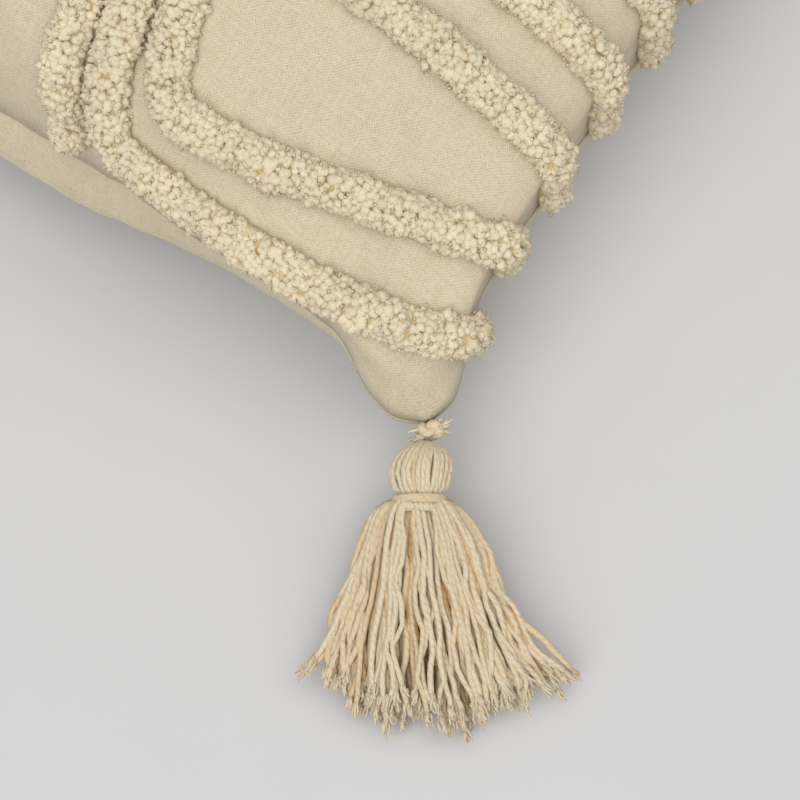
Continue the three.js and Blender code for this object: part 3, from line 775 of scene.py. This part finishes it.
def makeRow(name, flatLine, seed):
    random = np.random.default_rng(seed)
    line = throughPoints(flatLine) if len(flatLine) > 2 else evenly(np.array(flatLine), 0.5 * mm)
    spots, along, up = surfaceFrame(line)
    run = runAlong(spots)
    # smooth the frame, so that the ends of neighbouring stations don't cross
    kernel = np.ones(9) / 9
    up = unit(np.stack([np.convolve(np.pad(up[:, k], 4, "edge"), kernel, "valid") for k in range(3)], -1))

    def frameAt(distance):
        spot, ahead, rise = (readAlong(distance, run, part) for part in (spots, along, up))
        sideways = unit(np.cross(ahead, rise))
        return spot, unit(np.cross(rise, sideways)), sideways, unit(rise)

    # yarn ends: stations along the row, each with a fan of ends across it
    fan = np.radians(np.linspace(-rows["fanHalf"], rows["fanHalf"], rows["fan"]))
    midway = (fan[:-1] + fan[1:]) / 2
    ends = [(place, theta, 0.0) for index, place in enumerate(np.arange(0, run[-1], rows["endStep"]))
            for theta in (midway if index % 2 else fan)]
    # and those of the row's rounded ends
    ends += [(end, theta, sign * tilt) for end, sign in ((0, -1), (run[-1], 1))
             for tilt in rows["endTilts"] for theta in fan[1:-1] * (1 - 0.3 * tilt)]
    distance, angle, fore = np.array(ends).T
    distance = distance + random.normal(0, 0.45 * mm, len(ends))
    angle = angle + random.normal(0, 0.08, len(ends))
    spot, ahead, sideways, rise = frameAt(np.clip(distance, 0, run[-1]))

    def clumpNoise(offset, size):
        scaled = (spot + sideways * (np.sin(angle) * 7 * mm)[:, None]) / size
        return np.array([noise.noise(Vector(place) + Vector((offset, 0, 0))) for place in scaled])
    leanA = clumpNoise(0, rows["clump"])
    leanB = clumpNoise(31, rows["clump"])
    tall = clumpNoise(67, rows["clump"] * 0.8)
    direction = (np.sin(angle)[:, None] * sideways + np.cos(angle)[:, None] * rise)
    direction = unit(direction * np.cos(fore)[:, None] + ahead * np.sin(fore)[:, None])
    axis = unit(direction + rows["lean"] * (ahead * leanA[:, None] + sideways * leanB[:, None])
                + random.normal(0, 0.1, direction.shape))
    lengths = random.uniform(*rows["endLength"], len(axis)) * (1 + 0.3 * tall)
    radii = random.uniform(*rows["endRadius"], len(axis))
    reach = 1 + 0.2 * tall + random.normal(0, 0.05, len(axis))
    wide = rows["width"] / 2 + 0.2 * mm
    tip = (spot + sideways * (np.sin(angle) * np.cos(fore) * wide * reach)[:, None]
           + ahead * (np.sin(fore) * wide * 0.95 * reach)[:, None]
           + rise * (np.cos(angle) * np.cos(fore) * (rows["pile"] - 0.8 * mm) * reach + 1.0 * mm)[:, None])
    root = tip - axis * lengths[:, None]
    helper = unit(np.cross(axis, random.normal(0, 1, axis.shape)))
    other = np.cross(axis, helper)
    kinds = random.integers(0, len(endShapes), len(axis))
    tones = np.clip(0.5 + 0.6 * clumpNoise(90, 14 * mm) + random.normal(0, 0.18, len(axis)), 0, 1)
    points, faces, shadeDepths, shades, start = [], [], [], [], 0
    for kind, (shape, triangles) in enumerate(endShapes):
        chosen = np.flatnonzero(kinds == kind)
        placed = root[chosen, None]
        for k, (way, size) in enumerate(((helper, radii), (other, radii), (axis, lengths))):
            placed = placed + way[chosen, None] * (shape[None, :, k:k + 1] * size[chosen, None, None])
        points.append(placed.reshape(-1, 3))
        offsets = start + np.arange(len(chosen)) * len(shape)
        faces.append((triangles[None] + offsets[:, None, None]).reshape(-1, 3))
        # each lump's depth, 0 at its root and 1 at its tip, sets its painted shade
        shadeDepths.append(np.tile(shape[:, 2], len(chosen)))
        shades.append(np.repeat(tones[chosen], len(shape)))
        start += len(chosen) * len(shape)
    # loose fibre tips that bloom out of every end
    per = rows["fibres"]
    stem, tops, thick, long = (np.repeat(part, per, axis=0) for part in (axis, tip, radii, lengths))
    outwards = unit(np.cross(stem, random.normal(0, 1, stem.shape)))
    count = len(stem)
    base = (tops - stem * (long * random.uniform(0.12, 0.5, count))[:, None]
            + outwards * (thick * random.uniform(0.2, 0.75, count))[:, None])
    aim = unit(stem + outwards * random.uniform(0.2, 0.9, (count, 1)) + random.normal(0, 0.2, stem.shape))
    fibreTip = base + aim * random.uniform(*rows["fibreLength"], (count, 1))
    first = unit(np.cross(aim, outwards + 0.3 * stem))
    second = np.cross(aim, first)
    fibreRadius = random.uniform(*rows["fibreRadius"], (count, 1))
    foot = [base + fibreRadius * (math.cos(turn) * first + math.sin(turn) * second)
            for turn in (0, 2 * math.pi / 3, 4 * math.pi / 3)]
    points.append(np.stack(foot + [fibreTip], 1).reshape(-1, 3))
    sides = np.array([[0, 1, 3], [1, 2, 3], [2, 0, 3], [0, 2, 1]])
    faces.append((sides[None] + (start + 4 * np.arange(count))[:, None, None]).reshape(-1, 3))
    # fibres: 0.55 at the foot, 1 at the tip, for the painted shade
    shadeDepths.append(np.tile([0.55, 0.55, 0.55, 1.0], count))
    shades.append(np.repeat(np.clip(np.repeat(tones, per) + random.normal(0, 0.15, count), 0, 1), 4))
    start += 4 * count
    # the mound that the ends stand in
    bed = np.arange(0, run[-1] + 2 * mm, 4 * mm)
    base, ahead, sideways, rise = frameAt(np.clip(bed, 0, run[-1]))
    ring = np.linspace(0, math.pi, 7)
    profile = np.stack([np.cos(ring) * wide * 0.88, np.sin(ring) * rows["pile"] * 0.7], -1)
    section = (base[:, None] + sideways[:, None] * profile[None, :, 0:1] + rise[:, None] * profile[None, :, 1:2])
    points.append(section.reshape(-1, 3))
    sides = len(ring)
    quads = []
    for i in range(len(bed) - 1):
        for j in range(sides):
            a, b = i * sides + j, i * sides + (j + 1) % sides
            quads.append([start + a, start + b, start + b + sides, start + a + sides])
    caps = [list(range(start + sides - 1, start - 1, -1)),
            list(range(start + (len(bed) - 1) * sides, start + len(bed) * sides))]
    # the mound sits low at 0.4, so it takes the darker, warmer painted shade
    shadeDepths.append(np.full(len(bed) * sides, 0.4))
    shades.append(np.full(len(bed) * sides, 0.5))
    mesh = bpy.data.meshes.new(name)
    mesh.from_pydata(np.vstack(points), [], np.vstack(faces).tolist() + quads + caps)
    setAttribute(mesh, "depth", shadeDepths)
    setAttribute(mesh, "shade", shades)
    piece = showMesh(name + "_pile", mesh, finish["pile"])
    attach(piece, "cover")
    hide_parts(name)
    return len(mesh.polygons)


faceCount = 0
for index, (name, flatLine) in enumerate(rowLines().items()):
    for hand, sign in (("right", 1), ("left", -1)):
        drawn = [(sign * x, y) for x, y in flatLine]
        faceCount += makeRow("tuft_%s_%s" % (hand, name), drawn, 100 + 2 * index + (sign > 0))
print("tufted rows made:", faceCount, "faces")


# Yarn tubes

def yarnTubes(paths, radius, sides):
    # paths: strands x points x 3, radius: strands x points. Returns vertices, faces and each corner's UV,
    # u once round the yarn, v along it in metres
    strands, count = paths.shape[:2]
    along = unit(np.gradient(paths, axis=1))
    guide = np.zeros_like(along)
    guide[:, 0] = unit(np.cross(along[:, 0], [0.3, 0.2, 1.0]))
    for k in range(1, count):
        last = guide[:, k - 1]
        guide[:, k] = unit(last - along[:, k] * np.sum(last * along[:, k], axis=1, keepdims=True))
    other = np.cross(along, guide)
    turn = np.arange(sides) / sides * 2 * math.pi
    ring = (guide[:, :, None] * np.cos(turn)[:, None] + other[:, :, None] * np.sin(turn)[:, None])
    points = paths[:, :, None] + ring * radius[:, :, None, None]
    run = np.concatenate([np.zeros((strands, 1)),
                          np.cumsum(np.linalg.norm(np.diff(paths, axis=1), axis=2), axis=1)], 1)
    faces, corners = [], []
    for s in range(strands):
        base = s * count * sides
        for k in range(count - 1):
            for j in range(sides):
                a, b = base + k * sides + j, base + k * sides + (j + 1) % sides
                faces.append([a, b, b + sides, a + sides])
                low, high = run[s, k], run[s, k + 1]
                corners += [(j / sides, low), ((j + 1) / sides, low), ((j + 1) / sides, high), (j / sides, high)]
        faces.append([base + j for j in reversed(range(sides))])
        faces.append([base + (count - 1) * sides + j for j in range(sides)])
        corners += [(0.25, run[s, 0])] * sides + [(0.25, run[s, -1])] * sides
    return points.reshape(-1, 3), faces, corners


def tubePiece(name, bundles, material, matrix=None):
    # one piece from several bundles of tubes; each bundle is paths, radii, sides and shades
    points, faces, corners, shades, start = [], [], [], [], 0
    for paths, radius, sides, shade in bundles:
        more, moreFaces, moreCorners = yarnTubes(paths, radius, sides)
        points.append(more)
        faces += [[i + start for i in face] for face in moreFaces]
        corners += moreCorners
        shades.append(np.repeat(shade, paths.shape[1] * sides))
        start += len(more)
    mesh = bpy.data.meshes.new(name)
    mesh.from_pydata(np.vstack(points), [], faces)
    uv = mesh.uv_layers.new(name="yarn")
    uv.data.foreach_set("uv", np.array(corners, np.float32).ravel())
    setAttribute(mesh, "shade", shades)
    if matrix is not None:
        mesh.transform(matrix)
    return showMesh(name, mesh, material)


# Tassels, in a frame whose origin is the knot's middle: x away from the corner, z up

tassel = {
    "turn": 10.7,                # degrees round from the corner's diagonal
    "length": 86 * mm,           # knot's middle to the yarn's ends
    "knotRadius": 3.2 * mm,
    "headStart": 3.6 * mm,
    "headLength": 14.8 * mm,
    "headRadius": 9.5 * mm,
    "neckRadius": 6.9 * mm,
    "wrapLength": 3.4 * mm,
    "shoulder": 12 * mm,         # skirt's half width just below the wrap
    "flare": 0.36,               # how much wider it gets for its length
    "yarnRadius": 0.98 * mm,
    "strands": 150,
    "sway": [(-3.4, 2.4), (1.5, -2.0), (-1.0, 2.5), (2.2, 0.5)],   # neck and ends aside of the line, in mm
    "underRadius": 1.9 * mm,     # of the few thicker strands below the others
    "headStrands": 38,
    "innerStrands": 28,          # in a second layer under the head's first
    "headYarn": 0.84 * mm,       # radius of the yarn drawn tight over the head
    "wrapTurns": 3.3,
    "wrapCord": 0.6 * mm,        # radius of the cord wound round the neck
    "tieCord": 1.45 * mm,        # radius of the cord that ties it on
    "knotSize": 0.95 * mm,
    "tails": 44,                 # frayed ends of the tie cord
    "brush": 8,                  # fibres that each cut end untwists into
}
tasselSlope = math.asin((cover["earHeight"] - 8.5 * mm) / tassel["length"])


def swayed(paths, sway):
    # bends a tassel sideways, by one amount at the neck and another at the ends
    x = paths[..., 0] / mm
    aside = np.interp(x, [0, 5, 13, 23, 54, 86], np.array([0, 0.55, 0.9, 1, 0.55, 0]) * sway[0]
                      + np.array([0, 0, 0, 0, 0.4, 1]) * sway[1])
    paths[..., 1] += aside * mm
    return paths


def tasselHead(random):
    # strands that fold over the knot and run down round the head into the neck
    length, big, neck = tassel["headLength"], tassel["headRadius"], tassel["neckRadius"]
    start = tassel["headStart"]
    profile = np.array([(start - 0.6 * mm, 1.4 * mm), (start + 0.02 * length, 0.42 * big),
                        (start + 0.12 * length, 0.73 * big), (start + 0.35 * length, 0.97 * big),
                        (start + 0.6 * length, big), (start + 0.85 * length, 0.9 * big),
                        (start + length, neck), (start + length + 5.4 * mm, neck * 0.98)])
    line = throughPoints(profile, 1 * mm)
    line = line[np.linspace(0, len(line) - 1, 15).astype(int)]
    core = np.stack([line[:, 0], 0 * line[:, 0], 0 * line[:, 0]], -1)
    # the core inside the head has shade 0, the warmest, darkest tint: painted shade
    bundles = [(core[None], np.maximum(line[None, :, 1] - 1.9 * mm, 0.3 * mm), 14, [0.0])]
    for layer, (count, shrink) in enumerate(((tassel["headStrands"], 1.0), (tassel["innerStrands"], 0.88))):
        angle = (np.arange(count) + 0.5 * layer) / count * 2 * math.pi + random.normal(0, 0.05, count)
        drift = random.normal(0.10, 0.07, count)
        paths = np.zeros((count, len(line), 3))
        share = np.linspace(0, 1, len(line))
        for k, (x, r) in enumerate(line):
            around = angle + drift * math.sin(share[k] * math.pi) * 2.2
            bumped = np.maximum((r - tassel["headYarn"]) * shrink * (1 + random.normal(0, 0.018, count)), 0.3 * mm)
            paths[:, k] = np.stack([np.full(count, x), bumped * np.cos(around), bumped * np.sin(around)], -1)
        # the inner layer's shade is 0.4 lower: painted shade under the outer strands, over a random tone
        bundles.append((paths, np.full(paths.shape[:2], tassel["headYarn"]), 6,
                        random.uniform(0.8, 1.0, count) - 0.4 * layer))
    return bundles


def tasselSkirt(random):
    # strands from the neck out over the table, lying in a fan
    count, points = tassel["strands"], 22
    neckEnd = tassel["headStart"] + tassel["headLength"] + tassel["wrapLength"] + 0.6 * mm
    reach = tassel["length"] - neckEnd
    aside = np.linspace(-1, 1, count) + random.normal(0, 0.06, count)
    aside = np.clip(np.sign(aside) * np.abs(aside) ** 0.85, -1.05, 1.05)
    room = np.sqrt(np.maximum(0.06, 1 - np.minimum(np.abs(aside), 1) ** 2))
    layer = random.uniform(-1, 1, count) * room
    lengths = (reach * (1 + random.normal(0, 0.045, count)) - 3 * mm) * (1 - 0.16 * aside ** 2)
    # a few strands stray outwards near their ends
    stray = np.where(np.abs(aside) > 0.9, random.uniform(-0.3, 1, count), 0) * np.sign(aside)
    paths = np.zeros((count, points, 3))
    share = np.linspace(0, 1, points) ** 1.2
    knotHeight = cover["earHeight"]
    wave = random.uniform(0, 2 * math.pi, (4, count))
    amount = random.uniform(0.5, 2.0, count) * mm
    pace = random.uniform(19, 36, count) * mm
    neck = tassel["neckRadius"] - 0.6 * mm
    for k, s in enumerate(share):
        d = s * lengths
        bell = 1 - np.exp(-d / (1.9 * mm))
        wide = neck + (tassel["shoulder"] - neck) * bell + tassel["flare"] * d
        x = neckEnd - 2.4 * mm + d * np.cos(aside * 0.36)
        y = aside * wide + stray * 9 * mm * s ** 4
        y += amount * s ** 0.6 * (np.sin(2 * math.pi * d / pace + wave[0]) - np.sin(wave[0]))
        y += 0.18 * amount * np.sin(2 * math.pi * d / (9 * mm) + wave[2]) * min(1, 3 * s)
        centre = knotHeight - np.sin(tasselSlope) * (neckEnd + d) - 0.3 * mm
        lie = smoothStep(0.1, 0.95, s)
        thick = 6.4 * mm * (1 - lie) + 6.2 * mm * lie * np.sqrt(np.maximum(0.15, 1 - 0.75 * np.abs(aside) ** 2))
        hump = 2.6 * mm * math.sin(math.pi * min(1, s * 1.15)) * (1 - np.abs(aside) ** 2 * 0.8)
        height = centre + hump + layer * thick + 0.8 * amount * s * np.sin(2 * math.pi * d / (0.8 * pace) + wave[1])
        height = np.maximum(height, 1.25 * mm)
        paths[:, k] = np.stack([x, y, height - knotHeight], -1)
    # lower layers get lower shade values and so a warmer, darker tint: painted shade inside the skirt, over a
    # random tone
    shade = np.clip(0.5 + 0.45 * layer / np.maximum(room, 0.3) + random.normal(0, 0.12, count), 0, 1)
    radius = np.full((count, points), tassel["yarnRadius"]) * random.uniform(0.86, 1.08, (count, 1))
    radius[:, -1] *= 0.8
    bundles = [(paths, radius, 6, shade)]
    # thicker ones underneath, which close the gaps; shade 0 gives them the warmest, darkest tint, painted shade
    # seen between the strands
    under = paths[::6, :-5].copy()
    under[..., 2] = np.maximum(under[..., 2] - 1.2 * mm, tassel["underRadius"] + 0.4 * mm - knotHeight)
    bundles.append((under, np.full(under.shape[:2], tassel["underRadius"]), 6, np.zeros(len(under))))
    # the cut ends untwist into a brush of finer fibres
    heading = unit(paths[:, -1] - paths[:, -3])
    frays = []
    for _ in range(tassel["brush"]):
        splay = heading + random.normal(0, 0.14, heading.shape)
        reachOut = random.uniform(2.2, 5.0, (count, 1)) * mm
        origin = paths[:, -1] - heading * 1.2 * mm + random.normal(0, 0.45 * mm, heading.shape)
        tips = [origin + unit(splay) * reachOut * t + random.normal(0, 0.25 * mm, heading.shape) * t
                for t in (0, 0.4, 0.75, 1)]
        frays.append(np.stack(tips, 1))
    frays = np.concatenate(frays)
    frays[..., 2] = np.maximum(frays[..., 2], 0.5 * mm - knotHeight)
    thin = np.tile(np.array([0.5, 0.46, 0.4, 0.26]) * mm, (len(frays), 1))
    bundles.append((frays, thin, 4, np.full(len(frays), 1.0)))
    return bundles


def makeTassel(number):
    random = np.random.default_rng(40 + number)
    knotPlace = (half + (tassel["knotRadius"] + 0.4 * mm) / math.sqrt(2))
    diagonal = -math.pi / 4 + (number - 1) * math.pi / 2
    place = Vector((math.copysign(knotPlace, math.cos(diagonal)), math.copysign(knotPlace, math.sin(diagonal)),
                    cover["earHeight"]))
    level = Matrix.Translation(place) @ Matrix.Rotation(diagonal - math.radians(tassel["turn"]), 4, "Z")
    sloped = level @ Matrix.Rotation(tasselSlope, 4, "Y")
    sway = tassel["sway"][number - 1]
    headTubes, skirtTubes = ([(swayed(paths, sway), *rest) for paths, *rest in bundles]
                             for bundles in (tasselHead(random), tasselSkirt(random)))
    head = tubePiece("tassel_%d_head" % number, headTubes, finish["yarn"], sloped)
    skirt = tubePiece("tassel_%d_skirt" % number, skirtTubes, finish["yarn"], level)
    # neck wrap: yarn wound round the neck
    t = np.linspace(0, 1, 72)
    angle = t * tassel["wrapTurns"] * 2 * math.pi
    start = tassel["headStart"] + tassel["headLength"]
    around = tassel["neckRadius"] + 0.7 * mm
    coil = np.stack([start + 0.9 * mm + t * (tassel["wrapLength"] - 1.8 * mm),
                     around * np.cos(angle), around * np.sin(angle)], -1)
    wrap = tubePiece("tassel_%d_neck_wrap" % number,
                     [(swayed(coil[None], sway), np.full((1, len(t)), tassel["wrapCord"]), 8, [0.6])],
                     finish["yarn"], sloped)
    # knot: cord tied over itself, with frayed cut ends
    t = np.linspace(0, 2 * math.pi, 60)
    knot = np.stack([np.sin(3 * t) * 1.4, np.sin(t) + 2 * np.sin(2 * t), np.cos(t) - 2 * np.cos(2 * t)], -1)
    knot = knot * tassel["knotSize"]
    knot[:, 0] -= 0.8 * mm
    bundles = [(knot[None], np.full((1, len(t)), tassel["tieCord"]), 8, [0.9])]
    tails, thin = [], np.tile(np.array([0.6, 0.65, 0.6, 0.5]) * mm, (tassel["tails"], 1))
    for index in range(tassel["tails"]):
        towards = np.array([-0.25, 1.0, 0.2] if index % 3 else [0.1, -1.0, 0.1])
        heading = unit(towards + random.normal(0, 0.2, 3))
        reachOut = random.uniform(3.2, 5.4) * mm
        origin = random.normal(0, 0.8 * mm, 3)
        bend = random.normal(0, 0.7 * mm, 3)
        tails.append([origin + heading * reachOut * s + bend * s * s for s in (0, 0.35, 0.7, 1)])
    bundles.append((np.array(tails), thin, 4, np.ones(len(tails))))
    tied = tubePiece("tassel_%d_knot_cord" % number, bundles, finish["yarn"], level)
    for piece, node in ((head, "hank"), (skirt, None), (wrap, "wrap")):
        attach(piece, "tassel_%d" % number)
        if node:
            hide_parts("tassel_%d_%s" % (number, node))
    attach(tied, "tassel_%d_knot" % number)
    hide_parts("tassel_%d_knot" % number)


for number in (1, 2, 3, 4):
    makeTassel(number)
print("tassels made")


# Zipper: wound coils, bevelled slider, pull and stops; the tapes keep their shape

zipper = {
    "half": 160 * mm,            # half its length
    "coilRadius": 0.82 * mm,
    "pitch": 1.25 * mm,
    "wire": 0.3 * mm,
    "bevel": 0.22 * mm,
}


def makeCoil(side):
    turns = int(2 * zipper["half"] / zipper["pitch"])
    perTurn = 10
    t = np.arange(turns * perTurn + 1) / perTurn
    name = "zipper_coil_front" if side > 0 else "zipper_coil_back"
    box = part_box(name)
    middle = (box[0] + box[1]) / 2
    reach = zipper["coilRadius"] - zipper["wire"]
    lengths = box[1].x - box[0].x
    x = box[0].x + zipper["wire"] + t / t[-1] * (lengths - 2 * zipper["wire"])
    angle = 2 * math.pi * (t + (0.5 if side > 0 else 0))
    path = np.stack([x, middle.y + reach * 0.9 * np.sin(angle), middle.z + reach * 1.15 * np.cos(angle)], -1)
    piece = tubePiece(name + "_wound", [(path[None], np.full((1, len(path)), zipper["wire"]), 5, [0.5])],
                      finish["nylon"])
    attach(piece, "cover")
    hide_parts(name)


def bevelledCopy(name, material, body):
    bm = bmesh.new()
    bm.from_mesh(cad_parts[name].data)
    bmesh.ops.remove_doubles(bm, verts=bm.verts[:], dist=1e-6)
    bmesh.ops.dissolve_limit(bm, angle_limit=math.radians(4), verts=bm.verts[:], edges=bm.edges[:])
    sharp = [edge for edge in bm.edges if len(edge.link_faces) == 2 and edge.calc_face_angle() > math.radians(28)]
    bmesh.ops.bevel(bm, geom=sharp, offset=zipper["bevel"], segments=3, profile=0.5, affect="EDGES",
                    material=-1, clamp_overlap=True)
    bmesh.ops.recalc_face_normals(bm, faces=bm.faces[:])
    piece = addPiece(name + "_cast", bm, material)
    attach(piece, body)
    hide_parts(name)


for side in (1, -1):
    makeCoil(side)
bevelledCopy("zipper_slider", finish["enamel"], "zipper_slider")
bevelledCopy("zipper_pull", finish["enamel"], "zipper_pull")
for end in ("closed_end", "open_end"):
    bevelledCopy("zipper_stop_" + end, finish["stop"], "cover")
for side in ("front", "back"):
    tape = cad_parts["zipper_tape_" + side]
    tape.data.materials.clear()
    tape.data.materials.append(finish["tape"])
print("zipper made")


# Floor, light and camera

stage = {
    "floorSide": 24,
    "skyStrength": 0.44,
    "lamps": {                   # side, power in watts, place
        "overhead": (2.2, 22, (0.35, -0.35, 2.3)),
        "side": (1.8, 8, (1.45, 0.75, 1.6)),
        "fill": (1.8, 22.5, (0.45, -1.70, 1.5)),
    },
}
cameraFit = {
    "azimuth": 34.3,
    "elevation": 70.0,
    "distance": 0.700,
    "lens": 105.0,
    "shift": (-0.035, 0.0275),
}


def makeStage():
    bm = bmesh.new()
    bmesh.ops.create_grid(bm, x_segments=1, y_segments=1, size=stage["floorSide"] / 2)
    floor = addPiece("floor", bm, finish["floor"], smooth=False)
    floor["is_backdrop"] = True
    world = bpy.data.worlds.new("studio")
    scene.world = world
    world.use_nodes = True
    background = world.node_tree.nodes["Background"]
    background.inputs["Color"].default_value = linear("fafafa")
    background.inputs["Strength"].default_value = stage["skyStrength"]
    for name, (side, power, place) in stage["lamps"].items():
        lamp = bpy.data.lights.new(name, "AREA")
        lamp.shape = "SQUARE"
        lamp.size = side
        lamp.energy = power
        lamp.color = linear("fffefc")[:3]
        box = bpy.data.objects.new(name, lamp)
        box.location = Vector(place)
        box.rotation_euler = Vector(place).to_track_quat("Z", "Y").to_euler()
        scene.collection.objects.link(box)


def makeCamera():
    azimuth, elevation = (math.radians(cameraFit[name]) for name in ("azimuth", "elevation"))
    back = Vector((math.sin(azimuth) * math.cos(elevation), -math.cos(azimuth) * math.cos(elevation),
                   math.sin(elevation)))
    tip = Vector((half, -half, cover["earHeight"]))
    lens = bpy.data.cameras.new("camera")
    lens.sensor_width = 36
    lens.lens = cameraFit["lens"]
    lens.shift_x, lens.shift_y = cameraFit["shift"]
    lens.clip_start = 0.01
    camera = bpy.data.objects.new("camera", lens)
    camera.location = tip + back * cameraFit["distance"]
    right = Vector((math.cos(azimuth), math.sin(azimuth), 0))
    camera.rotation_euler = Matrix((right, back.cross(right), back)).transposed().to_euler()
    scene.collection.objects.link(camera)
    scene.camera = camera


makeStage()
makeCamera()
scene.view_settings.view_transform = "Standard"

triangles = sum(len(face.vertices) - 2 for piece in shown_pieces() if piece.type == "MESH"
                for face in piece.data.polygons)
print("triangles in all:", triangles)
